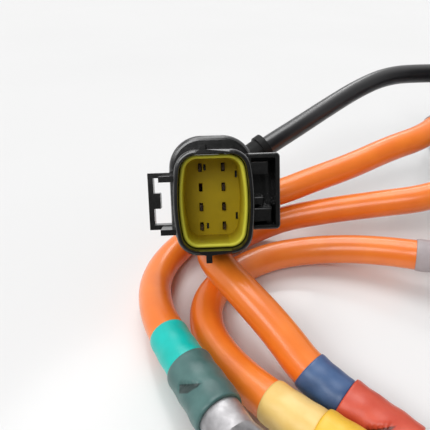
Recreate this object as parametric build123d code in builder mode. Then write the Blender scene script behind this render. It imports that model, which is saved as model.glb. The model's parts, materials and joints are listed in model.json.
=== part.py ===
from build123d import *
from math import atan, cos, radians, tan
import os

os.makedirs("parts", exist_ok=True)

# Driving sizes of the leads, millimetres
cable_d = 8.6
sensor_d = 7.0
marker_wall = 0.3
lug_sleeve_wall = 0.85
conductor_d = 5.6
marker_d = cable_d + 2 * marker_wall
lug_sleeve_d = cable_d + 2 * lug_sleeve_wall
bend_share = 0.45

# Lead routes from the gland to the lug or the connector
routes = {
    "yellow": [
        (-2, -42, 14.5), (-24, -42, 14.5), (-43, -37, 11.5), (-59, -29.5, 8.5), (-74.5, -26.5, 6),
        (-89, -28, 4.4), (-100, -35, 4.4), (-108, -45, 4.4), (-108.5, -56, 4.4),
        (-103.5, -66, 4.7), (-94.5, -77, 7), (-84.5, -86, 9.3),
    ],
    "blue": [
        (-2, -14, 23.5), (-24, -14, 23.5), (-39, -16.5, 18.5), (-53.5, -14.5, 15), (-68.5, -13, 11.5),
        (-83, -12, 7.5), (-93.5, -15.5, 4.8), (-101.5, -22, 5.3), (-107, -31, 9.8), (-106.5, -41, 14.2),
        (-99.5, -51.5, 13.6), (-91, -62, 10.5), (-85, -71, 7), (-77.5, -78, 6.6),
    ],
    "green": [
        (-2, 14, 32.5), (-24, 14, 32.5), (-34, 5, 30), (-47, 1.5, 27), (-60.5, -3.5, 23),
        (-73.5, -6.5, 19.5), (-84, -9.5, 16.5), (-94.5, -9.5, 13.5), (-105, -12.5, 8.8), (-114, -19.5, 4.8),
        (-120.5, -29, 4.4), (-123, -40, 5.5), (-121.5, -51, 7.8), (-117.5, -61.5, 9.6),
        (-111, -72.2, 10.7),
    ],
    "sensor": [
        (-2, 42, 41.5), (-24, 42, 41.5), (-38, 38.5, 41.3), (-51, 31.5, 38.3), (-64, 23, 33.8),
        (-76, 14.5, 29.6), (-86.5, 8, 25.7), (-95.5, 4.2, 20.6), (-103.2, -0.6, 16.2), (-107.65, -7.64, 16.46),
        (-107.4, -14.34, 19.81),
    ],
}
lead_sizes = {"yellow": cable_d, "blue": cable_d, "green": cable_d, "sensor": sensor_d}

# Where each sleeve starts and stops, measured along its lead from the gland
grey_spans = {"yellow": (24.0, 47.4), "blue": (15.0, 28.0), "green": (15.0, 28.0)}
marker_lengths = {"yellow": 11.5, "blue": 9.1, "green": 10.6}
lug_sleeve_before = {"yellow": 2.5, "blue": 2.5, "green": 1.1}
lug_sleeve_after = 11.5

# Ring lug: barrel, shoulder and palm, measured from the end of the cable
barrel_l = 17.0
barrel_flat = 0.1
shoulder_l = 6.0
palm_reach = 6.0
palm_w = 14.0
palm_t = 2.8
palm_drop = 1.5
palm_side = 0.2
palm_corner = 0.6
stud_hole = 8.4
conductor_l = 12.0
barrel_bore_l = 14.0
crimp_start = 2.0
crimp_l = 5.0
crimp_w = 5.0
crimp_across = 2.0
crimp_deep = 0.6

# Outlet plate, with its front face towards the leads and its lower edge on the floor
plate_w = 132.0
plate_low = 34.0
plate_high = 68.0
plate_t = 4.0
plate_front = 4.0
plate_corner = 9.0
plate_bevel = 0.6
gasket_t = 1.5
gasket_inset = 0.4
gasket_hole = 24.0

# Plate screws, M6 with a socket head, a reduced shank through the plate and gasket, and thread behind them
screw_d = 6.0
screw_shank_d = 5.35
screw_hole = 6.6
screw_head_d = 10.5
screw_head_t = 3.2
screw_bevel = 1.0
socket_r = 2.0
socket_deep = 1.8
screw_l = 12.0
screw_in = 7.0
screw_low = 7.0
screw_mid = 26.0
screw_edge = 6.0

# Cable gland, from the plate outwards
gland_hex = 20.0
gland_thread = 16.0
ring_t = 1.0
ring_wall = 1.6
body_hex_t = 5.0
collar_d = 15.0
collar_l = 6.0
seal_od = 12.0
seal_l = 8.0
seal_seat = 3.5
nut_l = 14.0
nut_hex_l = 9.0
nut_nose_d = 18.8
nut_bevel_l = 3.6
nut_bevel_r = 2.4
locknut_t = 4.0
thread_behind = 8.0
thread_bevel = 0.8
body_clear = 0.3
nut_clear = 0.5

# Connector: centre of the mouth, its right-hand direction and the way it faces
mouth = Plane(origin=(-106.2, -46.7, 36.0), x_dir=(0.9989, 0.0439, 0.0138), z_dir=(0.0331, -0.8938, 0.4472))
rim_w = 18.6
rim_h = 24.2
rim_bulge = 1.3
rim_corner = 5.0
shroud_wall = 1.0
flange_side = 1.3
flange_over = 3.6
flange_under = 1.45
flange_corner = 8.0
flange_front = 9.0
flange_back = 12.0
rear_in_side = 0.8
rear_in_top = 1.1
rear_depth = 29.0
rear_corner = 6.4
floor_depth = 15.4
floor_t = 1.2

# Keys above and below the barrel: place across, width and height
key_w = 1.4
key_root = 0.5
top_key_x = -2.25
top_key_h = 1.6
low_key_x = -1.5
low_key_h = 1.8

# Latch hood on the right, with its ribs: reach from the barrel, lower and upper edge
hood_front = 3.0
hood_l = 10.0
hood_reach = 6.4
hood_low = -7.0
hood_high = 11.0
hood_wall = 1.1
hood_corner = 1.0
hood_root = 1.8
hood_bite = 0.4
rib_front = 4.0
hood_ribs = [(4.0, 6.0, 9.2), (4.6, -5.15, -1.85), (2.7, -1.05, 0.85)]

# Clip bracket on the left: two arms, and a bar joined to the flange above and below, with a tab
arm_wall = 1.35
arm_reach = 3.4
arm_low = -6.25
arm_high = 4.9
bar_reach = 6.65
bar_t = 1.3
bar_low = -7.2
bar_high = 6.9
bar_wall = 1.2
tab_h = 3.8
tab_reach = 2.95

# Contacts, eight places in four rows with one left empty, spaced by their margins inside the rim
column_margin = 6.3
row_margin = 4.3
pitch_x = rim_w - 2 * column_margin
pitch_y = (rim_h - 2 * row_margin) / 3
cavity_w = 1.8
cavity_h = 2.8
blade_w = 0.64
blade_h = 1.5
blade_proud = 1.5
blade_l = 3.6
contact_l = 6.0
seal_web = 1.0
seal_d = pitch_y - seal_web
seal_bore_l = 5.0
wire_seal_l = 4.4
wire_seal_in = 0.4
wire_d = 1.4
plug_head_r = 1.2
cavity_spots = []
for row in (1.5, 0.5, -0.5, -1.5):
    for column in (-0.5, 0.5):
        cavity_spots.append((column * pitch_x, row * pitch_y))
empty_spot = cavity_spots[2]
pin_spots = [spot for spot in cavity_spots if spot != empty_spot]

# Olive lock plate, a cup that slides out by its travel
slide_travel = 1.8
lip_gap = 0.15
lip_wall = 0.85
lip_depth = 3.0
lip_round = 0.3
slot_clear = 0.15
slot_over = 0.35
window_w = 0.6
windows = [(-1.8, 7.9, 1.6), (-1.4, -7.7, 1.6), (6.4, 5.9, 1.8), (6.4, -5.2, 1.8)]
snap_x = 2.4
snap_w = 1.3
snap_l = 3.0
snap_front = 8.2
snap_proud = 0.4
snap_clear = 0.2

# Rubber boot behind the connector
boot_l = 34.5
boot_wall = 1.2
boot_lip_l = 2.4
boot_lip = 0.6
boot_flare = 0.6
boot_step = 0.4

# Places worked out from the sizes above
plate_back = plate_front + plate_t
gasket_back = plate_back + gasket_t
hex_front = plate_front - ring_t - body_hex_t
collar_front = hex_front - collar_l
seal_back = collar_front + seal_seat
seal_front = seal_back - seal_l
nut_front = hex_front - nut_l
rear_w = rim_w - 2 * rear_in_side
rear_h = rim_h - 2 * rear_in_top
mouth_h = rim_h - 2 * shroud_wall
floor_back = floor_depth + floor_t
contact_front = floor_depth - blade_proud + blade_l
contact_back = contact_front + contact_l
bar_outer = rim_w / 2 + bar_reach
lug_length = barrel_l + shoulder_l
lead_entries = [route[0][1:] for route in routes.values()]
cable_end_depth = (mouth.origin - Vector(*routes["sensor"][-1])).length
screw_side = plate_w / 2 - screw_in
slope = atan((plate_high - plate_low) / plate_w)
screw_high = plate_low + (plate_w / 2 + screw_side) * tan(slope) - screw_edge / cos(slope)
screw_spots = [(-screw_side, screw_low), (screw_side, screw_low), (-screw_side, screw_mid),
               (screw_side, screw_mid), (screw_side, screw_high)]


def bend_radii(route):
    radii = []
    for before, corner, after in zip(route, route[1:], route[2:]):
        run_in = Vector(*corner) - Vector(*before)
        run_out = Vector(*after) - Vector(*corner)
        half_turn = radians(run_in.get_angle(run_out)) / 2
        radii.append(bend_share * min(run_in.length, run_out.length) / tan(half_turn))
    return radii


def lead_path(route):
    with BuildLine() as path:
        FilletPolyline(*route, radius=bend_radii(route))
    return path.wire()


def span(path, start, stop):
    return path.trim(start / path.length, stop / path.length)


def start_plane(path):
    return Plane(origin=path @ 0, z_dir=path % 0)


def slab(left, right, low, high):
    with Locations(((left + right) / 2, (low + high) / 2)):
        Rectangle(right - left, high - low)


def depth_plane(depth):
    return Plane.XY.offset(-depth)


def barrel(sketch, inset):
    side = rim_w / 2 - inset
    end = rim_h / 2 - inset
    with BuildLine() as outline:
        ThreePointArc((side - rim_bulge, -end), (side, 0), (side - rim_bulge, end))
        Line((side - rim_bulge, end), (rim_bulge - side, end))
        ThreePointArc((rim_bulge - side, end), (-side, 0), (rim_bulge - side, -end))
        Line((rim_bulge - side, -end), (side - rim_bulge, -end))
    make_face(outline.edges())
    fillet(sketch.vertices(), rim_corner - inset)


def save(builder, name):
    builder.part.label = name
    export_step(builder.part, f"parts/{name}.step")


# Outlet plate, a trapezoid with holes for the glands and the screws
plate_outline = [(-plate_w / 2, 0), (plate_w / 2, 0), (plate_w / 2, plate_high), (-plate_w / 2, plate_low)]
with BuildPart() as outlet_plate:
    with BuildSketch(Plane.YZ.offset(plate_front)) as plate_face:
        with BuildLine():
            Polyline(*plate_outline, close=True)
        make_face()
        fillet(plate_face.vertices().sort_by(Axis.Y)[2:], radius=plate_corner)
        with Locations(*lead_entries):
            Circle(gland_thread / 2, mode=Mode.SUBTRACT)
        with Locations(*screw_spots):
            Circle(screw_hole / 2, mode=Mode.SUBTRACT)
    extrude(amount=plate_t)
    chamfer(outlet_plate.faces().sort_by(Axis.X)[0].outer_wire().edges(), plate_bevel)
save(outlet_plate, "outlet_plate")

with BuildPart() as plate_gasket:
    with BuildSketch(Plane.YZ.offset(plate_back)) as gasket_face:
        with BuildLine():
            Polyline(*plate_outline, close=True)
        make_face()
        fillet(gasket_face.vertices().sort_by(Axis.Y)[2:], radius=plate_corner)
        offset(amount=-gasket_inset)
        with Locations(*lead_entries):
            Circle(gasket_hole / 2, mode=Mode.SUBTRACT)
        with Locations(*screw_spots):
            Circle(screw_hole / 2, mode=Mode.SUBTRACT)
    extrude(amount=gasket_back - plate_back)
save(plate_gasket, "plate_gasket")

with BuildPart() as plate_screws:
    with BuildSketch(Plane.YZ.offset(plate_front)):
        with Locations(*screw_spots):
            Circle(screw_head_d / 2)
    extrude(amount=-screw_head_t)
    chamfer(plate_screws.faces().group_by(Axis.X)[0].edges(), screw_bevel)
    with BuildSketch(Plane.YZ.offset(plate_front)):
        with Locations(*screw_spots):
            Circle(screw_shank_d / 2)
    extrude(amount=gasket_back - plate_front)
    with BuildSketch(Plane.YZ.offset(gasket_back)):
        with Locations(*screw_spots):
            Circle(screw_d / 2)
    extrude(amount=plate_front + screw_l - gasket_back)
    with BuildSketch(Plane.YZ.offset(plate_front - screw_head_t)):
        with Locations(*screw_spots):
            RegularPolygon(socket_r, 6, major_radius=False)
    extrude(amount=socket_deep, mode=Mode.SUBTRACT)
save(plate_screws, "plate_screws")

# Cable glands, one per lead
for lead, lead_d in lead_sizes.items():
    entry_y, entry_z = routes[lead][0][1:]
    entry = Plane(origin=(0, entry_y, entry_z), x_dir=(0, 1, 0), z_dir=(1, 0, 0))

    with BuildPart() as gland_body:
        with BuildSketch(entry.offset(hex_front)):
            RegularPolygon(gland_hex / 2, 6, major_radius=False)
        extrude(amount=body_hex_t)
        with BuildSketch(entry.offset(plate_front - ring_t)):
            Circle(gland_thread / 2)
        extrude(amount=ring_t + plate_t + thread_behind)
        with BuildSketch(entry.offset(collar_front)):
            Circle(collar_d / 2)
        extrude(amount=collar_l)
        with BuildSketch(entry.offset(collar_front)):
            Circle(seal_od / 2)
        extrude(amount=seal_seat, mode=Mode.SUBTRACT)
        with BuildSketch(entry.offset(seal_back)):
            Circle(lead_d / 2 + body_clear)
        extrude(amount=plate_back + thread_behind - seal_back, mode=Mode.SUBTRACT)
        chamfer(gland_body.faces().sort_by(Axis.X)[-1].edges(), thread_bevel)
    save(gland_body, f"{lead}_gland_body")

    with BuildPart() as gland_ring:
        with BuildSketch(entry.offset(plate_front - ring_t)):
            Circle(gland_thread / 2 + ring_wall)
            Circle(gland_thread / 2, mode=Mode.SUBTRACT)
        extrude(amount=ring_t)
    save(gland_ring, f"{lead}_gland_ring")

    with BuildPart() as gland_locknut:
        with BuildSketch(entry.offset(plate_back)):
            RegularPolygon(gland_hex / 2, 6, major_radius=False)
            Circle(gland_thread / 2, mode=Mode.SUBTRACT)
        extrude(amount=locknut_t)
    save(gland_locknut, f"{lead}_gland_locknut")

    with BuildPart() as gland_seal:
        with BuildSketch(entry.offset(seal_front)):
            Circle(seal_od / 2)
            Circle(lead_d / 2, mode=Mode.SUBTRACT)
        extrude(amount=seal_l)
    save(gland_seal, f"{lead}_gland_seal")

    with BuildPart() as gland_nut:
        with BuildSketch(entry.offset(hex_front)):
            RegularPolygon(gland_hex / 2, 6, major_radius=False)
        extrude(amount=-nut_hex_l)
        with BuildSketch(entry.offset(hex_front - nut_hex_l)):
            Circle(nut_nose_d / 2)
        extrude(amount=nut_hex_l - nut_l)
        chamfer(gland_nut.faces().sort_by(Axis.X)[0].edges(), nut_bevel_r, nut_bevel_l)
        with BuildSketch(entry.offset(hex_front)):
            Circle(collar_d / 2)
        extrude(amount=-collar_l, mode=Mode.SUBTRACT)
        with BuildSketch(entry.offset(collar_front)):
            Circle(seal_od / 2)
        extrude(amount=seal_seat - seal_l, mode=Mode.SUBTRACT)
        with BuildSketch(entry.offset(nut_front)):
            Circle(lead_d / 2 + nut_clear)
        extrude(amount=seal_front - nut_front, mode=Mode.SUBTRACT)
    save(gland_nut, f"{lead}_gland_nut")

# Phase leads with their sleeves and lugs
for lead in grey_spans:
    path = lead_path(routes[lead])
    print(lead, "length", round(path.length, 1), "radii", [round(r, 1) for r in bend_radii(routes[lead])])
    marker_stop = path.length - lug_sleeve_before[lead]

    with BuildPart() as phase_cable:
        with BuildSketch(start_plane(path)):
            Circle(cable_d / 2)
        sweep(path=path)
    save(phase_cable, f"{lead}_phase_cable")

    grey_path = span(path, *grey_spans[lead])
    with BuildPart() as grey_sleeve:
        with BuildSketch(start_plane(grey_path)):
            Circle(marker_d / 2)
            Circle(cable_d / 2, mode=Mode.SUBTRACT)
        sweep(path=grey_path)
    save(grey_sleeve, f"{lead}_grey_sleeve")

    marker_path = span(path, marker_stop - marker_lengths[lead], marker_stop)
    with BuildPart() as marker_sleeve:
        with BuildSketch(start_plane(marker_path)):
            Circle(marker_d / 2)
            Circle(cable_d / 2, mode=Mode.SUBTRACT)
        sweep(path=marker_path)
    save(marker_sleeve, f"{lead}_marker_sleeve")

    ahead = path % 1
    lug_plane = Plane(origin=path @ 1, x_dir=Vector(0, 0, 1).cross(ahead), z_dir=ahead)
    sleeve_path = span(path, marker_stop, path.length)
    with BuildPart() as lug_sleeve:
        with BuildSketch(start_plane(sleeve_path)):
            Circle(lug_sleeve_d / 2)
            Circle(cable_d / 2, mode=Mode.SUBTRACT)
        sweep(path=sleeve_path)
        with BuildSketch(lug_plane):
            Circle(lug_sleeve_d / 2)
            Circle(cable_d / 2, mode=Mode.SUBTRACT)
        extrude(amount=lug_sleeve_after)
        with BuildSketch(lug_plane.offset(crimp_start)):
            with Locations((-crimp_across, lug_sleeve_d / 2)):
                Rectangle(crimp_w, 2 * crimp_deep)
        extrude(amount=crimp_l, mode=Mode.SUBTRACT)
    save(lug_sleeve, f"{lead}_lug_sleeve")

    with BuildPart() as conductor:
        with BuildSketch(lug_plane):
            Circle(conductor_d / 2)
        extrude(amount=conductor_l)
    save(conductor, f"{lead}_conductor")

    palm_centre = lug_plane.from_local_coords((0, -palm_drop - palm_t / 2, lug_length + palm_reach))
    palm_plane = Plane(origin=palm_centre, x_dir=lug_plane.x_dir, z_dir=lug_plane.y_dir)
    with BuildPart() as ring_lug:
        with BuildSketch(lug_plane):
            Circle(cable_d / 2)
        extrude(amount=barrel_l)
        with BuildSketch(lug_plane.offset(barrel_l)):
            RectangleRounded(cable_d, cable_d, cable_d / 2 - barrel_flat)
        with BuildSketch(lug_plane.offset(lug_length)):
            with Locations((0, -palm_drop)):
                RectangleRounded(palm_w - 2 * palm_side, palm_t, palm_corner)
        loft()
        with BuildSketch(lug_plane.offset(lug_length)):
            with Locations((0, -palm_drop)):
                RectangleRounded(palm_w - 2 * palm_side, palm_t, palm_corner)
        extrude(amount=palm_reach)
        with BuildSketch(palm_plane):
            Circle(palm_w / 2)
        extrude(amount=palm_t)
        with BuildSketch(palm_plane):
            Circle(stud_hole / 2)
        extrude(amount=palm_t, mode=Mode.SUBTRACT)
        with BuildSketch(lug_plane):
            Circle(conductor_d / 2)
        extrude(amount=barrel_bore_l, mode=Mode.SUBTRACT)
    save(ring_lug, f"{lead}_ring_lug")

# Sensor lead
sensor_path = lead_path(routes["sensor"])
print("sensor length", round(sensor_path.length, 1))
print("sensor radii", [round(r, 1) for r in bend_radii(routes["sensor"])])
with BuildPart() as sensor_cable:
    with BuildSketch(start_plane(sensor_path)):
        Circle(sensor_d / 2)
    sweep(path=sensor_path)
save(sensor_cable, "sensor_cable")

# Connector housing, drawn with its mouth at the origin facing up and then turned into place
with BuildPart() as connector_housing:
    with BuildSketch() as rim_face:
        barrel(rim_face, 0)
    extrude(amount=-flange_back)
    with BuildSketch(depth_plane(flange_back)):
        RectangleRounded(rear_w, rear_h, rear_corner)
    extrude(amount=flange_back - rear_depth)
    with BuildSketch(depth_plane(flange_front)):
        with Locations((0, (flange_over - flange_under) / 2)):
            RectangleRounded(rim_w + 2 * flange_side, rim_h + flange_over + flange_under, flange_corner)
    extrude(amount=flange_front - flange_back)
    # Keys above and below the barrel
    with BuildSketch():
        slab(top_key_x - key_w / 2, top_key_x + key_w / 2, rim_h / 2 - key_root, rim_h / 2 + top_key_h)
        slab(low_key_x - key_w / 2, low_key_x + key_w / 2, -rim_h / 2 - low_key_h, key_root - rim_h / 2)
    extrude(amount=-flange_front)
    # Latch hood on the right
    with BuildSketch(depth_plane(hood_front)):
        with Locations((rim_w / 2 + (hood_reach - hood_root) / 2, (hood_low + hood_high) / 2)):
            RectangleRounded(hood_reach + hood_root, hood_high - hood_low, hood_corner)
    extrude(amount=-hood_l)
    with BuildSketch(depth_plane(hood_front)):
        slab(rim_w / 2 - hood_bite, rim_w / 2 + hood_reach - hood_wall,
             hood_low + hood_wall, hood_high - hood_wall)
    extrude(amount=hood_wall - hood_l, mode=Mode.SUBTRACT)
    with BuildSketch(depth_plane(rib_front)):
        for reach, low, high in hood_ribs:
            slab(rim_w / 2 - key_root, rim_w / 2 + reach, low, high)
    extrude(amount=rib_front - hood_front - hood_l + hood_wall)
    # Clip bracket on the left
    with BuildSketch(depth_plane(hood_front)):
        slab(-rim_w / 2 - arm_reach, hood_bite - rim_w / 2, arm_high, arm_high + arm_wall)
        slab(-rim_w / 2 - arm_reach, hood_bite + rim_bulge / 2 - rim_w / 2, arm_low - arm_wall, arm_low)
    extrude(amount=-hood_l)
    with BuildSketch(depth_plane(flange_front)):
        slab(-bar_outer, bar_t - bar_outer, bar_low, bar_high)
        slab(-bar_outer, -rim_w / 2, bar_high - bar_wall, bar_high)
        slab(-bar_outer, -rim_w / 2, bar_low, bar_low + bar_wall)
        slab(-bar_outer, tab_reach - bar_outer, -tab_h / 2, tab_h / 2)
    extrude(amount=flange_front - flange_back)
    # Mouth, snap grooves, terminal cavities and seal bores
    with BuildSketch() as mouth_face:
        barrel(mouth_face, shroud_wall)
    extrude(amount=-floor_back, mode=Mode.SUBTRACT)
    with BuildSketch(depth_plane(snap_front - slide_travel - snap_clear)):
        for wall in (-1, 1):
            with Locations((snap_x, wall * mouth_h / 2)):
                Rectangle(snap_w + 2 * lip_gap, 2 * (snap_proud + snap_clear))
    extrude(amount=-snap_l - slide_travel - snap_clear, mode=Mode.SUBTRACT)
    with BuildSketch(depth_plane(floor_back)):
        with Locations(*cavity_spots):
            Rectangle(cavity_w, cavity_h)
    extrude(amount=floor_back + seal_bore_l - rear_depth, mode=Mode.SUBTRACT)
    with BuildSketch(depth_plane(rear_depth)):
        with Locations(*cavity_spots):
            Circle(seal_d / 2)
    extrude(amount=seal_bore_l, mode=Mode.SUBTRACT)
connector_housing.part.locate(mouth.location)
save(connector_housing, "connector_housing")

# Lock plate, a cup with slots for the blades
cup_h = mouth_h - 2 * lip_gap
with BuildPart() as lock_plate:
    with BuildSketch(depth_plane(lip_depth)) as cup_face:
        barrel(cup_face, shroud_wall + lip_gap)
    extrude(amount=lip_depth - floor_back)
    with BuildSketch(depth_plane(lip_depth)) as cup_hollow:
        barrel(cup_hollow, shroud_wall + lip_gap + lip_wall)
    extrude(amount=lip_depth - floor_depth, mode=Mode.SUBTRACT)
    chamfer(lock_plate.faces().sort_by(Axis.Z)[-1].edges(), lip_round)
    with BuildSketch(depth_plane(floor_depth)):
        with Locations(*cavity_spots):
            Rectangle(blade_w + 2 * slot_clear, blade_h + 2 * slot_over)
        for window_x, window_y, window_h in windows:
            with Locations((window_x, window_y)):
                Rectangle(window_w, window_h)
    extrude(amount=-floor_t, mode=Mode.SUBTRACT)
    with BuildSketch(depth_plane(snap_front)):
        for wall in (-1, 1):
            with Locations((snap_x, wall * cup_h / 2)):
                Rectangle(snap_w, 2 * (snap_proud + lip_gap))
    extrude(amount=-snap_l)
lock_plate.part.locate(mouth.location)
save(lock_plate, "lock_plate")

with BuildPart() as contact_pins:
    with BuildSketch(depth_plane(floor_depth - blade_proud)):
        with Locations(*pin_spots):
            Rectangle(blade_w, blade_h)
    extrude(amount=-blade_l)
    with BuildSketch(depth_plane(contact_front)):
        with Locations(*pin_spots):
            Rectangle(cavity_w, cavity_h)
    extrude(amount=-contact_l)
contact_pins.part.locate(mouth.location)
save(contact_pins, "contact_pins")

with BuildPart() as wire_seals:
    with BuildSketch(depth_plane(rear_depth - wire_seal_in)):
        with Locations(*pin_spots):
            Circle(seal_d / 2)
            Circle(wire_d / 2, mode=Mode.SUBTRACT)
    extrude(amount=wire_seal_l)
wire_seals.part.locate(mouth.location)
save(wire_seals, "wire_seals")

with BuildPart() as cavity_plug:
    with BuildSketch(depth_plane(rear_depth)):
        with Locations(empty_spot):
            Circle(seal_d / 2)
    extrude(amount=wire_seal_l)
    with BuildSketch(depth_plane(rear_depth)):
        with Locations(empty_spot):
            Circle(plug_head_r)
    extrude(amount=-plug_head_r)
cavity_plug.part.locate(mouth.location)
save(cavity_plug, "cavity_plug")

# Core wires from the contacts to the end of the sensor cable, straight between three turns
core_ring = sensor_d / 2 - wire_d / 2 - boot_flare
core_turn = 1.2
wire_ends = [(-0.5, 0.87), (0.5, 0.87), (1, 0), (-1, 0), (0, 0), (-0.5, -0.87), (0.5, -0.87)]
with BuildPart() as core_wires:
    for spot, (across, along) in zip(pin_spots, wire_ends):
        end = (across * core_ring, along * core_ring)
        with BuildLine() as wire_path:
            Polyline((*spot, -contact_back), (*spot, -rear_depth), (*end, core_turn - cable_end_depth),
                     (*end, -cable_end_depth))
        with BuildSketch(Plane(origin=wire_path.wire() @ 0, z_dir=(0, 0, -1))):
            Circle(wire_d / 2)
        sweep(path=wire_path.wire(), transition=Transition.RIGHT)
core_wires.part.locate(mouth.location)
save(core_wires, "core_wires")

# Rubber boot: a flare behind the connector and a tube along the cable
boot_path = span(sensor_path, sensor_path.length - boot_l, sensor_path.length)
boot_back = Plane(origin=boot_path @ 1, x_dir=mouth.x_dir, z_dir=mouth.z_dir)
boot_d = sensor_d + 2 * boot_wall
with BuildPart() as connector_boot:
    with BuildSketch(boot_back):
        Circle(boot_d / 2 + boot_flare)
    with BuildSketch(mouth.offset(-rear_depth)):
        RectangleRounded(rear_w, rear_h, rear_corner)
    loft()
    with BuildSketch(boot_back):
        Circle(sensor_d / 2 - boot_step)
    with BuildSketch(mouth.offset(-rear_depth)):
        RectangleRounded(rear_w - 2 * boot_wall, rear_h - 2 * boot_wall, rear_corner - boot_wall)
    loft(mode=Mode.SUBTRACT)
    with BuildSketch(start_plane(boot_path)):
        Circle(boot_d / 2)
        Circle(sensor_d / 2, mode=Mode.SUBTRACT)
    sweep(path=boot_path)
    with BuildSketch(start_plane(boot_path)):
        Circle(boot_d / 2 + boot_lip)
        Circle(boot_d / 2 - boot_lip, mode=Mode.SUBTRACT)
    extrude(amount=boot_lip_l)
save(connector_boot, "connector_boot")
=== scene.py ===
import bpy
import json
from math import atan2, cos, exp, pi, radians, sin
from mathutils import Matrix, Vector

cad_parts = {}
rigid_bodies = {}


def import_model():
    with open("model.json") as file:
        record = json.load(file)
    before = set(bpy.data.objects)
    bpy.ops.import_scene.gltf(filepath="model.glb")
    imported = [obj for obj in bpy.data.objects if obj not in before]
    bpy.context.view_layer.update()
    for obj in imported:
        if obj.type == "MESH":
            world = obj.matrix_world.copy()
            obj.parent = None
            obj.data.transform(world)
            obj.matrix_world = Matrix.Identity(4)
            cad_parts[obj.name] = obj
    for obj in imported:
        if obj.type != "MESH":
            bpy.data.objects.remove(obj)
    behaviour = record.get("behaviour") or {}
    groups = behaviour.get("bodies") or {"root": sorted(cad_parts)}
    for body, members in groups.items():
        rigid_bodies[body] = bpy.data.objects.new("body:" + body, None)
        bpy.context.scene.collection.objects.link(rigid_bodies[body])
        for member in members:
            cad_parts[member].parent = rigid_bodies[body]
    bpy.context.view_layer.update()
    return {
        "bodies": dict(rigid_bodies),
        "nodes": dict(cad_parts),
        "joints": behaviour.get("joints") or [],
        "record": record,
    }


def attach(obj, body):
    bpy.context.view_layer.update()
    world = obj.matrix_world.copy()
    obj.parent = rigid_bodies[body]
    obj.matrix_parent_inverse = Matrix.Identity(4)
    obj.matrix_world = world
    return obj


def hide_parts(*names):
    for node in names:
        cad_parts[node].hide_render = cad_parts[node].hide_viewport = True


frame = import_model()
nodes = frame["nodes"]

MM = 0.001
ROUTE_STEPS = 24
CABLE_STEPS = 12
SIDES = 48

# Sizes of the leads, millimetres, as in the frame
CABLE_D = 8.6
SENSOR_D = 7.0
MARKER_D = 9.2
LUG_SLEEVE_D = 10.3
LUG_SLEEVE_BEFORE = {"yellow": 2.5, "blue": 2.5, "green": 1.1}
LUG_SLEEVE_AFTER = 11.5
GREY_SPANS = {"yellow": (24.0, 47.4), "blue": (15.0, 28.0), "green": (15.0, 28.0)}
MARKER_LENGTHS = {"yellow": 11.5, "blue": 9.1, "green": 10.6}
SLEEVE_BITE = 0.05
SLEEVE_STEP = 0.25
GREY_WAVES = 0.03
MARKER_WAVES = 0.05
LUG_WAVES = 0.07

# The crimp's mark on a lug sleeve: how far past the cable's end it starts, millimetres,
# where it is around the sleeve, and the slant of its long edge
CRIMP_AFTER = 3.0
CRIMP_TURN = radians(330.0)
SLANT_ALONG = 0.72
SLANT_AROUND = 0.693

# Lead routes from the gland to the lug or the connector, millimetres
ROUTES = {
    "yellow": [
        (-2, -42, 14.5), (-24, -42, 14.5), (-43, -37, 11.5), (-59, -29.5, 8.5),
        (-74.5, -26.5, 6), (-89, -28, 4.4), (-100, -35, 4.4), (-108, -45, 4.4),
        (-108.5, -56, 4.4), (-103.5, -66, 4.7), (-94.5, -77, 7), (-84.5, -86, 9.3),
    ],
    "blue": [
        (-2, -14, 23.5), (-24, -14, 23.5), (-39, -16.5, 18.5), (-53.5, -14.5, 15),
        (-68.5, -13, 11.5), (-83, -12, 7.5), (-93.5, -15.5, 4.8), (-101.5, -22, 5.3),
        (-107, -31, 9.8), (-106.5, -41, 14.2), (-99.5, -51.5, 13.6), (-91, -62, 10.5),
        (-85, -71, 7), (-77.5, -78, 6.6),
    ],
    "green": [
        (-2, 14, 32.5), (-24, 14, 32.5), (-34, 5, 30), (-47, 1.5, 27), (-60.5, -3.5, 23),
        (-73.5, -6.5, 19.5), (-84, -9.5, 16.5), (-94.5, -9.5, 13.5), (-105, -12.5, 8.8),
        (-114, -19.5, 4.8), (-120.5, -29, 4.4), (-123, -40, 5.5), (-121.5, -51, 7.8),
        (-117.5, -61.5, 9.6), (-111, -72.2, 10.7),
    ],
    "sensor": [
        (-2, 42, 41.5), (-24, 42, 41.5), (-38, 38.5, 41.3), (-51, 31.5, 38.3), (-64, 23, 33.8),
        (-76, 14.5, 29.6), (-86.5, 8, 25.7), (-95.5, 4.2, 20.6), (-103.2, -0.6, 16.2),
        (-107.65, -7.64, 16.46), (-107.4, -14.34, 19.81),
    ],
}

# Where the connector stands, millimetres: the centre of its mouth, its right, its top and the
# way it faces
MOUTH = Vector((-106.2, -46.7, 36.0))
MOUTH_RIGHT = Vector((0.9989, 0.0439, 0.0138))
MOUTH_UP = Vector((-0.0320, 0.4463, 0.8943))
MOUTH_OUT = Vector((0.0331, -0.8938, 0.4472))

# The housing's front outlines, square on to the mouth, millimetres, and how far off one a
# corner of the mesh may lie
DEPTH_SLACK = 0.05
RIM = dict(depth=0.0, middle=0.0, half_w=9.3, half_h=12.1, corner=5.0, bulge=1.3, near=0.4)
FLANGE = dict(depth=9.0, middle=1.075, half_w=10.6, half_h=14.625, corner=8.0, bulge=0.0, near=0.06)

# The latch hood and its three ribs beside the barrel, millimetres
HOOD_BLOCKS = [
    dict(depth=3.0, left=7.5, right=15.7, low=-7.0, high=11.0),
    dict(depth=4.0, left=8.9, right=13.3, low=6.0, high=9.2),
    dict(depth=4.0, left=8.9, right=13.9, low=-5.15, high=-1.85),
    dict(depth=4.0, left=8.9, right=12.0, low=-1.05, high=0.85),
]

# How widely edges are rounded, millimetres
HOUSING_ROUNDS = {"rim": 0.65, "flange": 1.2, "hood": 0.45}
MOULDED_ROUND = 0.3
LOCK_PLATE_ROUND = 0.1

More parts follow.
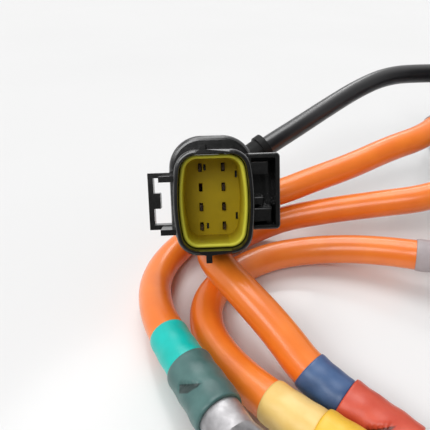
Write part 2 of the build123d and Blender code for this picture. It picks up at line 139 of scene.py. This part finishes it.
# Surfaces: two near colours, the two levels of roughness and how fine the grain is
FINISHES = {
    "orange_jacket": dict(low=(0.88, 0.185, 0.014), high=(0.95, 0.235, 0.020), rough=(0.34, 0.46),
                          grain=2600.0, mottle=120.0, relief=0.02, coat=0.65, coat_rough=0.2,
                          specular=0.4),
    "black_jacket": dict(low=(0.004, 0.004, 0.005), high=(0.006, 0.005, 0.007),
                         rough=(0.28, 0.36), grain=3200.0, relief=0.02, specular=0.9),
    "black_nylon": dict(low=(0.003, 0.003, 0.003), high=(0.005, 0.005, 0.005),
                        rough=(0.21, 0.28), grain=4200.0, mottle=420.0, relief=0.01, specular=1.0),
    "boot_rubber": dict(low=(0.004, 0.004, 0.004), high=(0.007, 0.007, 0.007),
                        rough=(0.42, 0.56), grain=3600.0, specular=0.2),
    "pin_metal": dict(low=(0.10, 0.065, 0.045), high=(0.24, 0.17, 0.13), rough=(0.20, 0.34),
                      grain=2400.0, mottle=1400.0, relief=0.015, metallic=1.0),
    "tinned_metal": dict(low=(0.34, 0.33, 0.34), high=(0.52, 0.51, 0.52), rough=(0.42, 0.66),
                         grain=900.0, mottle=330.0, relief=0.12, metallic=1.0),
    "copper_strand": dict(low=(0.60, 0.27, 0.15), high=(0.78, 0.42, 0.27), rough=(0.28, 0.42),
                          grain=2000.0, metallic=1.0),
    "grey_sleeve": dict(low=(0.36, 0.31, 0.32), high=(0.45, 0.40, 0.41), rough=(0.48, 0.62),
                        grain=2300.0),
    "gland_nylon": dict(low=(0.012, 0.012, 0.013), high=(0.026, 0.026, 0.027),
                        rough=(0.36, 0.52), grain=3400.0, relief=0.05),
    "gasket_rubber": dict(low=(0.014, 0.014, 0.014), high=(0.022, 0.022, 0.022),
                          rough=(0.62, 0.76), grain=2200.0),
    "cast_plate": dict(low=(0.48, 0.48, 0.49), high=(0.62, 0.62, 0.63), rough=(0.42, 0.60),
                       grain=1300.0, mottle=160.0, relief=0.09, metallic=1.0),
    "zinc_screw": dict(low=(0.50, 0.50, 0.51), high=(0.68, 0.68, 0.69), rough=(0.24, 0.38),
                       grain=2600.0, metallic=1.0),
    "seal_silicone": dict(low=(0.42, 0.08, 0.03), high=(0.50, 0.11, 0.05), rough=(0.50, 0.62),
                          grain=2600.0),
    "core_insulation": dict(low=(0.22, 0.22, 0.24), high=(0.34, 0.34, 0.36), rough=(0.36, 0.48),
                            grain=2400.0),
}
SHRINK_SLEEVE = dict(rough=(0.32, 0.50), grain=1900.0, mottle=210.0, relief=0.05, coat=0.12,
                     coat_rough=0.3)

# Two near colours for each lead's marker sleeve, and two for its lug sleeve
SLEEVE_COLOURS = {
    "green": (((0.0, 0.50, 0.43), (0.0, 0.58, 0.52)), ((0.045, 0.115, 0.11), (0.08, 0.18, 0.17))),
    "yellow": (((0.84, 0.56, 0.16), (0.92, 0.66, 0.24)), ((0.86, 0.50, 0.03), (0.94, 0.60, 0.06))),
    "blue": (((0.03, 0.075, 0.19), (0.055, 0.12, 0.27)), ((0.56, 0.06, 0.03), (0.68, 0.10, 0.05))),
}

# The nodes that keep the frame's own shape and edges, by finish
FINISHED_NODES = {
    "cast_plate": ["outlet_plate"],
    "zinc_screw": ["plate_screws"],
    "gland_nylon": [f"{lead}_gland_{part}"
                    for lead in ROUTES for part in ("body", "locknut", "nut")],
    "gasket_rubber": ["plate_gasket"]
                     + [f"{lead}_gland_{part}" for lead in ROUTES for part in ("ring", "seal")],
    "copper_strand": [f"{lead}_conductor" for lead in GREY_SPANS],
    "tinned_metal": [f"{lead}_ring_lug" for lead in GREY_SPANS],
    "pin_metal": ["contact_pins"],
    "boot_rubber": ["connector_boot"],
    "seal_silicone": ["wire_seals", "cavity_plug"],
    "core_insulation": ["core_wires"],
}

# Soft lamps: the direction each stands in, its strength and how wide it looks, in degrees
PANELS = {
    "top": ((-0.14, 0.33, 0.93), 1.25, 38.0),
    "left": ((-0.69, -0.31, 0.65), 0.8, 24.0),
    "back": ((0.12, 0.74, 0.66), 0.35, 16.0),
    "front": ((-0.20, -0.66, 0.72), 0.9, 26.0),
}


def make_camera():
    """A camera at the photo's viewing angle."""
    focal_px = 392.0
    frame_px = 430.0
    tilt_down = 34.5
    stand = Vector((-106.0, -121.22, 84.0))
    data = bpy.data.cameras.new("camera")
    data.sensor_width = 36.0
    data.lens = focal_px / frame_px * data.sensor_width
    data.clip_start = 0.005
    camera = bpy.data.objects.new("camera", data)
    camera.location = stand * MM
    camera.rotation_euler = (radians(90.0 - tilt_down), 0.0, 0.0)
    bpy.context.collection.objects.link(camera)
    bpy.context.scene.camera = camera


def new_material(name):
    """A material, its node tree as nodes and links, and its shader."""
    material = bpy.data.materials.new(name)
    material.use_nodes = True
    tree = (material.node_tree.nodes, material.node_tree.links)
    return material, tree, tree[0]["Principled BSDF"]


# Node helpers: each one adds to a tree and returns the socket it makes
def noise(tree, scale, detail):
    made, links = tree
    texture = made.new("ShaderNodeTexNoise")
    texture.inputs["Scale"].default_value = scale
    texture.inputs["Detail"].default_value = detail
    links.new(made.new("ShaderNodeTexCoord").outputs["Object"], texture.inputs["Vector"])
    return texture.outputs["Fac"]


def ramp(tree, value, stops):
    made, links = tree
    band = made.new("ShaderNodeValToRGB")
    while len(band.color_ramp.elements) < len(stops):
        band.color_ramp.elements.new(0.5)
    for element, (spot, colour) in zip(band.color_ramp.elements, stops):
        element.position = spot
        element.color = (*colour, 1.0)
    links.new(value, band.inputs["Fac"])
    return band.outputs["Color"]


def mottled(tree, scale, low, high, detail=4.0):
    return ramp(tree, noise(tree, scale, detail), [(0.3, low), (0.7, high)])


def arithmetic(tree, operation, *values):
    """One step of arithmetic on two values, each a number or a socket."""
    made, links = tree
    node = made.new("ShaderNodeMath")
    node.operation = operation
    for value, socket in zip(values, node.inputs):
        if isinstance(value, float):
            socket.default_value = value
        else:
            links.new(value, socket)
    return node.outputs["Value"]


def along_way(tree, place, way):
    made, links = tree
    along = made.new("ShaderNodeVectorMath")
    along.operation = "DOT_PRODUCT"
    along.inputs[1].default_value = way
    links.new(place, along.inputs[0])
    return along.outputs["Value"]


def carried_over(tree, value, start, stop, low=0.0, high=1.0, interpolation="LINEAR"):
    """A value between start and stop, carried over to between low and high."""
    made, links = tree
    span = made.new("ShaderNodeMapRange")
    span.interpolation_type = interpolation
    span.inputs["From Min"].default_value = start
    span.inputs["From Max"].default_value = stop
    span.inputs["To Min"].default_value = low
    span.inputs["To Max"].default_value = high
    links.new(value, span.inputs["Value"])
    return span.outputs["Result"]


def slope(tree, origin, way, start, stop):
    """How far a spot lies from an origin in a direction: 0 at the start, 1 at the stop."""
    place = tree[0].new("ShaderNodeTexCoord").outputs["Object"]
    level = origin.dot(way)
    spot = along_way(tree, place, way)
    return carried_over(tree, spot, (level + start) * MM, (level + stop) * MM)


def multiply_colour(tree, one, other):
    made, links = tree
    mix = made.new("ShaderNodeMix")
    mix.data_type = "RGBA"
    mix.blend_type = "MULTIPLY"
    mix.inputs["Factor"].default_value = 1.0
    links.new(one, mix.inputs["A"])
    links.new(other, mix.inputs["B"])
    return mix.outputs["Result"]


def bump(tree, height, distance, strength, under=None):
    made, links = tree
    node = made.new("ShaderNodeBump")
    node.inputs["Distance"].default_value = distance * MM
    node.inputs["Strength"].default_value = strength
    links.new(height, node.inputs["Height"])
    if under:
        links.new(under, node.inputs["Normal"])
    return node.outputs["Normal"]


def grey(level):
    return (level, level, level)


def uncoloured(name, rough, grain, mottle=260.0, relief=0.06, metallic=0.0, coat=0.0,
               coat_rough=0.1, specular=0.5):
    """Roughness that wanders between two levels and a fine moulded grain, but no colour yet."""
    material, tree, shader = new_material(name)
    wear = noise(tree, scale=mottle * 2.3, detail=6.0)
    worn = ramp(tree, wear, [(0.25, grey(rough[0])), (0.75, grey(rough[1]))])
    swell = bump(tree, noise(tree, scale=mottle * 0.7, detail=2.0), distance=relief * 2.0,
                 strength=0.35)
    fine = bump(tree, noise(tree, scale=grain, detail=5.0), distance=relief, strength=0.4,
                under=swell)
    tree[1].new(worn, shader.inputs["Roughness"])
    tree[1].new(fine, shader.inputs["Normal"])
    shader.inputs["Specular IOR Level"].default_value = specular
    shader.inputs["Metallic"].default_value = metallic
    shader.inputs["Coat Weight"].default_value = coat
    shader.inputs["Coat Roughness"].default_value = coat_rough
    return material, tree, shader


def surface(name, low, high, rough, grain, mottle=260.0, **more):
    """Two near colours mottled together, with their roughness and grain."""
    material, tree, shader = uncoloured(name, rough, grain, mottle, **more)
    tree[1].new(mottled(tree, mottle, low, high), shader.inputs["Base Color"])
    return material


def finish(name):
    return surface(name, **FINISHES[name])


def olive_plastic():
    """Bright at the lip and darker golden down at the floor of the cup: painted shade, darker
    deeper in the cup where less light reaches.
    """
    lip_depth = 3.0
    floor_depth = 14.0
    painted_shade_by_depth = [(0.0, (0.68, 0.64, 0.06)), (0.25, (0.56, 0.48, 0.03)), (1.0, (0.50, 0.36, 0.01))]
    material, tree, shader = uncoloured("olive_plastic", (0.34, 0.46), 3000.0, relief=0.02,
                                        specular=0.16)
    # Painted shade: the colour darkens with depth into the cup, where less light falls
    shade = ramp(tree, slope(tree, MOUTH, -MOUTH_OUT, lip_depth, floor_depth), painted_shade_by_depth)
    blotches = mottled(tree, 300.0, grey(0.92), grey(1.0))
    tree[1].new(multiply_colour(tree, shade, blotches), shader.inputs["Base Color"])
    return material


def paint_crimp_shade(material, centre, on_way, off_way):
    """Paints shade into the sleeve's colour over the wedge that a crimp leaves, down where light
    hardly reaches.
    """
    darkest_painted_shade = 0.25
    tip_way = -off_way - 0.65 * on_way
    tree = (material.node_tree.nodes, material.node_tree.links)
    shader = tree[0]["Principled BSDF"]
    colour = shader.inputs["Base Color"].links[0].from_socket
    # In from each side of the wedge, millimetres: where its shade starts and where it is full
    inside = slope(tree, centre, on_way, 0.0, 0.3)
    for way, start, stop in ((off_way, -0.1, 0.1), (-off_way, -1.75, -1.45), (tip_way, -3.8, -3.4)):
        inside = arithmetic(tree, "MULTIPLY", inside, slope(tree, centre, way, start, stop))
    shade = ramp(tree, inside, [(0.0, grey(1.0)), (1.0, grey(darkest_painted_shade))])
    tree[1].new(multiply_colour(tree, colour, shade), shader.inputs["Base Color"])


def route_curve(name, route):
    """A lead's smooth line, as one open spline through the route's control points."""
    data = bpy.data.curves.new(name, "CURVE")
    data.dimensions = "3D"
    data.resolution_u = ROUTE_STEPS
    spline = data.splines.new("NURBS")
    spline.points.add(len(route) - 1)
    for control, spot in zip(spline.points, route):
        control.co = (*(Vector(spot) * MM), 1.0)
    spline.order_u = 3
    spline.use_endpoint_u = True
    return data


def smooth_line(route):
    data = route_curve("line", route)
    holder = bpy.data.objects.new("line", data)
    mesh = bpy.data.meshes.new_from_object(holder)
    points = [vertex.co.copy() for vertex in mesh.vertices]
    bpy.data.objects.remove(holder)
    bpy.data.curves.remove(data)
    bpy.data.meshes.remove(mesh)
    return points


def line_length(points):
    return sum((after - before).length for before, after in zip(points, points[1:]))


def stretch_of(points, start, stop):
    """Evenly spaced spots between two lengths along a line, carried straight on past its end."""
    spots = []
    count = max(2, round((stop - start) / (SLEEVE_STEP * MM)))
    for index in range(count + 1):
        wanted = start + (stop - start) * index / count
        done = 0.0
        for before, after in zip(points, points[1:]):
            run = (after - before).length
            if done + run >= wanted:
                break
            done += run
        else:
            done -= run
        spots.append(before + (after - before) * ((wanted - done) / run))
    return spots


def mesh_piece(name, vertices, faces, material):
    mesh = bpy.data.meshes.new(name)
    mesh.from_pydata(vertices, [], faces)
    mesh.polygons.foreach_set("use_smooth", [True] * len(mesh.polygons))
    mesh.materials.append(material)
    piece = bpy.data.objects.new(name, mesh)
    bpy.context.collection.objects.link(piece)
    return piece


def ring_frames(spots):
    """Each spot with two sideways directions, carried along without twisting."""
    frames = []
    side = None
    for index, spot in enumerate(spots):
        following = spots[min(index + 1, len(spots) - 1)]
        ahead = (following - spots[max(index - 1, 0)]).normalized()
        if side is None:
            side = ahead.cross(Vector((0.0, 0.0, 1.0))).normalized()
        side = (side - ahead * side.dot(ahead)).normalized()
        frames.append((spot, side, ahead.cross(side)))
    return frames


def crimp_depth(along, around):
    """The crimp's mark: a flat that drops sharply at its slanted edge and rises to nothing."""
    edge_l = 5.8
    end_l = 0.8
    reach = 1.9
    deepest = 0.75
    lead_in = 0.25
    on_edge = SLANT_ALONG * along - SLANT_AROUND * around
    off_edge = SLANT_AROUND * along + SLANT_ALONG * around
    if off_edge < -lead_in or off_edge > reach or on_edge < 0.0 or on_edge > edge_l:
        return 0.0
    drop = min(1.0, (off_edge + lead_in) / lead_in) * (1.0 - max(0.0, off_edge) / reach)
    ends = min(1.0, on_edge / end_l, (edge_l - on_edge) / end_l)
    return deepest * drop * ends


def shrink_wave(done, turn):
    """The shallow waves of a shrunk sleeve, by the length along it and the turn around it."""
    short_rate = 1.3
    long_rate = 0.7
    long_share = 0.6
    short = sin(done / MM * short_rate + 2 * turn)
    return short + long_share * sin(done / MM * long_rate - 3 * turn)


def sleeve(name, spots, outer, inner, material, waves=0.0, crimp_start=None):
    """A closed tube wall along the spots: rounded lips at both ends, waves between them."""
    lip = 0.35 * MM
    lip_share = 0.5
    frames = ring_frames(spots)
    along = [0.0]
    for before, after in zip(spots, spots[1:]):
        along.append(along[-1] + (after - before).length)
    total = along[-1]
    turns = [2 * pi * step / SIDES for step in range(SIDES)]
    vertices = []
    for (spot, side, up), done in zip(frames, along):
        rounding = lip * exp(-min(done, total - done) / lip) * lip_share
        for turn in turns:
            radius = outer - rounding + waves * shrink_wave(done, turn)
            if crimp_start is not None:
                around = (turn - CRIMP_TURN) * outer / MM
                radius -= crimp_depth(done / MM - crimp_start, around) * MM
            vertices.append(spot + side * (radius * cos(turn)) + up * (radius * sin(turn)))
    for spot, side, up in frames:
        for turn in turns:
            vertices.append(spot + side * (inner * cos(turn)) + up * (inner * sin(turn)))

    def neighbours(ring, step):
        """Two corners side by side on the outside, and the two on the inside across from them."""
        a = ring * SIDES + step
        b = ring * SIDES + (step + 1) % SIDES
        inside = len(spots) * SIDES
        return a, b, a + inside, b + inside

    faces = []
    last = len(spots) - 1
    for ring in range(last):
        for step in range(SIDES):
            a, b, c, d = neighbours(ring, step)
            faces.append((a, b, b + SIDES, a + SIDES))
            faces.append((d, c, c + SIDES, d + SIDES))
    for ring in (0, last):
        for step in range(SIDES):
            a, b, c, d = neighbours(ring, step)
            faces.append((b, a, c, d) if ring == 0 else (a, b, d, c))
    if crimp_start is not None:
        started = [frame for frame, done in zip(frames, along) if done >= crimp_start * MM]
        spot, side, up = started[0]
        ahead = side.cross(up)
        outward = side * cos(CRIMP_TURN) + up * sin(CRIMP_TURN)
        around_way = up * cos(CRIMP_TURN) - side * sin(CRIMP_TURN)
        # Painted shade over the crimp's wedge, darkening the sleeve's colour there
        paint_crimp_shade(material, (spot + outward * outer) / MM,
                     on_way=SLANT_ALONG * ahead - SLANT_AROUND * around_way,
                     off_way=SLANT_AROUND * ahead + SLANT_ALONG * around_way)
    return mesh_piece(name, vertices, faces, material)


def lead_cable(lead, diameter, material):
    data = route_curve(f"{lead}_lead", ROUTES[lead])
    data.bevel_depth = diameter / 2 * MM
    data.bevel_resolution = CABLE_STEPS
    data.use_fill_caps = True
    data.materials.append(material)
    cable = bpy.data.objects.new(f"{lead}_lead", data)
    bpy.context.collection.objects.link(cable)
    return cable


def phase_lead(lead, marker_colours, lug_colours, jacket, grey_finish):
    """One orange lead with its grey, marker and lug sleeves, and the frame's own lug."""
    cable = lead_cable(lead, CABLE_D, jacket)
    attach(cable, "leads")
    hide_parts(f"{lead}_phase_cable")
    line = smooth_line(ROUTES[lead])
    total = line_length(line)
    inner = (CABLE_D / 2 - SLEEVE_BITE) * MM
    marker_stop = total - LUG_SLEEVE_BEFORE[lead] * MM
    marker_start = marker_stop - MARKER_LENGTHS[lead] * MM
    cover_stop = total + LUG_SLEEVE_AFTER * MM
    grey_start, grey_stop = [spot * MM for spot in GREY_SPANS[lead]]
    grey_piece = sleeve(f"{lead}_grey_band", stretch_of(line, grey_start, grey_stop),
                        MARKER_D / 2 * MM, inner, grey_finish, waves=GREY_WAVES * MM)
    marker = sleeve(f"{lead}_marker_band", stretch_of(line, marker_start, marker_stop),
                    MARKER_D / 2 * MM, inner,
                    surface(f"{lead}_marker", *marker_colours, **SHRINK_SLEEVE),
                    waves=MARKER_WAVES * MM)
    lug_cover = sleeve(f"{lead}_lug_cover", stretch_of(line, marker_stop, cover_stop),
                       LUG_SLEEVE_D / 2 * MM, inner,
                       surface(f"{lead}_cover", *lug_colours, **SHRINK_SLEEVE),
                       waves=LUG_WAVES * MM, crimp_start=LUG_SLEEVE_BEFORE[lead] + CRIMP_AFTER)
    replaced = ((grey_piece, "grey_sleeve"), (marker, "marker_sleeve"), (lug_cover, "lug_sleeve"))
    for piece, node in replaced:
        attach(piece, "leads")
        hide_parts(f"{lead}_{node}")


def sensor_lead(wall_piece):
    """The black lead, which carries the connector and the wall added to its housing. The wall_piece
    argument is not used.
    """
    cable = lead_cable("sensor", SENSOR_D, finish("black_jacket"))
    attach(cable, "leads")
    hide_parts("sensor_cable")


def corners_at(node, depth):
    """The corners of a node's mesh at a depth behind the mouth: index, place across, place up."""
    for vertex in node.data.vertices:
        spot = vertex.co / MM - MOUTH
        if abs(spot.dot(MOUTH_OUT) + depth) < DEPTH_SLACK:
            yield vertex.index, spot.dot(MOUTH_RIGHT), spot.dot(MOUTH_UP)


def outline_corners(node, depth, middle, half_w, half_h, corner, bulge, near):
    """The corners on a front outline around the mouth: a rounded rectangle, its sides bulged."""
    chosen = []
    for index, right, above in corners_at(node, depth):
        up = above - middle
        across = abs(right) - (half_w - bulge * (up / half_h) ** 2 - corner)
        along = abs(up) - (half_h - corner)
        beyond = Vector((max(across, 0.0), max(along, 0.0))).length
        if abs(beyond + min(max(across, along), 0.0) - corner) < near:
            chosen.append(index)
    return chosen


def block_corners(node, depth, left, right, low, high):
    """The corners on a front outline beside the barrel: a rectangle, sharp or rounded."""
    slack = 0.05
    rounding = 1.05
    rounded_in = rounding * 0.3
    chosen = []
    for index, across, up in corners_at(node, depth):
        from_end = min(up - low, high - up)
        from_edge = min(across - left, right - across, from_end)
        rounded = from_edge < rounded_in and right - across < rounding and from_end < rounding
        if abs(from_edge) < slack or (from_edge > -slack and rounded):
            chosen.append(index)
    return chosen


def round_edges(piece, width, sharp):
    """Rounds the edges that turn by more than an angle, in degrees."""
    edge = piece.modifiers.new("edge", "BEVEL")
    edge.width = width * MM
    edge.segments = 2
    edge.limit_method = "ANGLE"
    edge.angle_limit = radians(sharp)
    edge.use_clamp_overlap = True
    edge.harden_normals = True


def round_node(name, width, groups):
    """Rounds a node's edges, its named groups of corners first and by widths of their own."""
    node = nodes[name]
    weld = node.modifiers.new("weld", "WELD")
    weld.merge_threshold = 0.002 * MM
    flat = node.modifiers.new("flat", "DECIMATE")
    flat.decimate_type = "DISSOLVE"
    flat.angle_limit = radians(0.6)
    for group, group_width in groups.items():
        outline = node.modifiers.new(group, "BEVEL")
        outline.width = group_width * MM
        outline.segments = 4
        outline.limit_method = "VGROUP"
        outline.vertex_group = group
        outline.use_clamp_overlap = False
    round_edges(node, width, sharp=35.0)


def paint(name, material):
    nodes[name].data.materials.clear()
    nodes[name].data.materials.append(material)


def barrel_wall(rim_corners, material):
    """A wall on the rim's own outline, from the flange back over the lock plate.

    The frame's housing lacks its wall there, so this piece stands in for it.
    """
    housing = nodes["connector_housing"]
    front = 11.5
    back = 17.8
    wall = 0.85
    # One corner for each direction from the middle, as the mesh has several at one spot
    outline = {}
    for index in rim_corners:
        spot = housing.data.vertices[index].co / MM - MOUTH
        right, up = spot.dot(MOUTH_RIGHT), spot.dot(MOUTH_UP)
        outline[round(atan2(up, right), 3)] = (right, up)
    outline = [outline[turn] for turn in sorted(outline)]
    reach = max(right for right, up in outline)
    height = max(up for right, up in outline)
    rings = ((0.0, front), (0.0, back), (wall, back), (wall, front))
    vertices = []
    for inset, depth in rings:
        for right, up in outline:
            across = MOUTH_RIGHT * (right * (1.0 - inset / reach))
            along = MOUTH_UP * (up * (1.0 - inset / height))
            vertices.append((MOUTH + across + along - MOUTH_OUT * depth) * MM)
    count = len(outline)
    faces = []
    for ring in range(len(rings)):
        a, b = ring * count, (ring + 1) % len(rings) * count
        for step in range(count):
            following = (step + 1) % count
            faces.append((a + step, b + step, b + following, a + following))
    wall_piece = mesh_piece("barrel_wall", vertices, faces, material)
    round_edges(wall_piece, MOULDED_ROUND, sharp=50.0)
    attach(wall_piece, "leads")
    return wall_piece


def finish_housing():
    """The housing's finish and rounded edges, and the wall added to it, which is returned."""
    housing = nodes["connector_housing"]
    corners = {
        "rim": outline_corners(housing, **RIM),
        "flange": outline_corners(housing, **FLANGE),
        "hood": [corner for block in HOOD_BLOCKS for corner in block_corners(housing, **block)],
    }
    for group, chosen in corners.items():
        housing.vertex_groups.new(name=group).add(chosen, 1.0, "REPLACE")
    moulded = finish("black_nylon")
    paint("connector_housing", moulded)
    round_node("connector_housing", MOULDED_ROUND, HOUSING_ROUNDS)
    return barrel_wall(corners["rim"], moulded)


def finish_nodes():
    """The lock plate, and every node that keeps the frame's own shape and edges."""
    for kind, names in FINISHED_NODES.items():
        material = finish(kind)
        for name in names:
            paint(name, material)
    paint("lock_plate", olive_plastic())
    round_node("lock_plate", LOCK_PLATE_ROUND, {})


def make_floor():
    material, tree, shader = new_material("floor")
    tree[1].new(mottled(tree, 6.0, grey(0.80), grey(0.82), detail=2.0), shader.inputs["Base Color"])
    shader.inputs["Roughness"].default_value = 0.16
    shader.inputs["Specular IOR Level"].default_value = 0.35
    reach = 4.0
    sides = ((-reach, -reach), (reach, -reach), (reach, reach), (-reach, reach))
    floor = mesh_piece("floor", [(x, y, 0.0) for x, y in sides], [(0, 1, 2, 3)], material)


def far_panel(name, toward, strength, width):
    """A large soft light so far away that it lights the whole floor evenly."""
    data = bpy.data.lights.new(name, "SUN")
    data.energy = strength
    data.angle = radians(width)
    lamp = bpy.data.objects.new(name, data)
    lamp.rotation_euler = Vector(toward).to_track_quat("Z", "Y").to_euler()
    bpy.context.collection.objects.link(lamp)


def make_world():
    """A pale studio: dim as light on the object, pale where it is seen or reflected."""
    light_level = 0.32
    seen_level = 0.9
    world = bpy.data.worlds.new("world")
    world.use_nodes = True
    tree = (world.node_tree.nodes, world.node_tree.links)
    background = tree[0]["Background"]
    background.inputs["Color"].default_value = (1.0, 1.0, 1.0, 1.0)
    path = tree[0].new("ShaderNodeLightPath").outputs
    seen = path["Is Camera Ray"]
    for kind in ("Is Glossy Ray", "Is Transmission Ray"):
        seen = arithmetic(tree, "MAXIMUM", seen, path[kind])
    level = carried_over(tree, seen, 0.0, 1.0, light_level, seen_level)
    # The studio reflects darker in front, low down, where the photographer stands
    front_way = (0.0, -0.94, 0.34)
    front_full = 0.75
    front_level = 0.06
    place = tree[0].new("ShaderNodeTexCoord").outputs["Generated"]
    shade = carried_over(tree, along_way(tree, place, front_way), 0.0, front_full, 1.0,
                         front_level, interpolation="SMOOTHSTEP")
    unreflected = arithmetic(tree, "SUBTRACT", 1.0, path["Is Glossy Ray"])
    kept = arithmetic(tree, "MAXIMUM", shade, unreflected)
    tree[1].new(arithmetic(tree, "MULTIPLY", level, kept), background.inputs["Strength"])
    bpy.context.scene.world = world


make_camera()
orange_jacket = finish("orange_jacket")
grey_sleeve = finish("grey_sleeve")
for lead, (marker_colours, lug_colours) in SLEEVE_COLOURS.items():
    phase_lead(lead, marker_colours, lug_colours, orange_jacket, grey_sleeve)
sensor_lead(finish_housing())
finish_nodes()
make_floor()
make_world()
for name, (toward, strength, width) in PANELS.items():
    far_panel(name, toward, strength, width)
bpy.context.scene.view_settings.view_transform = "Standard"
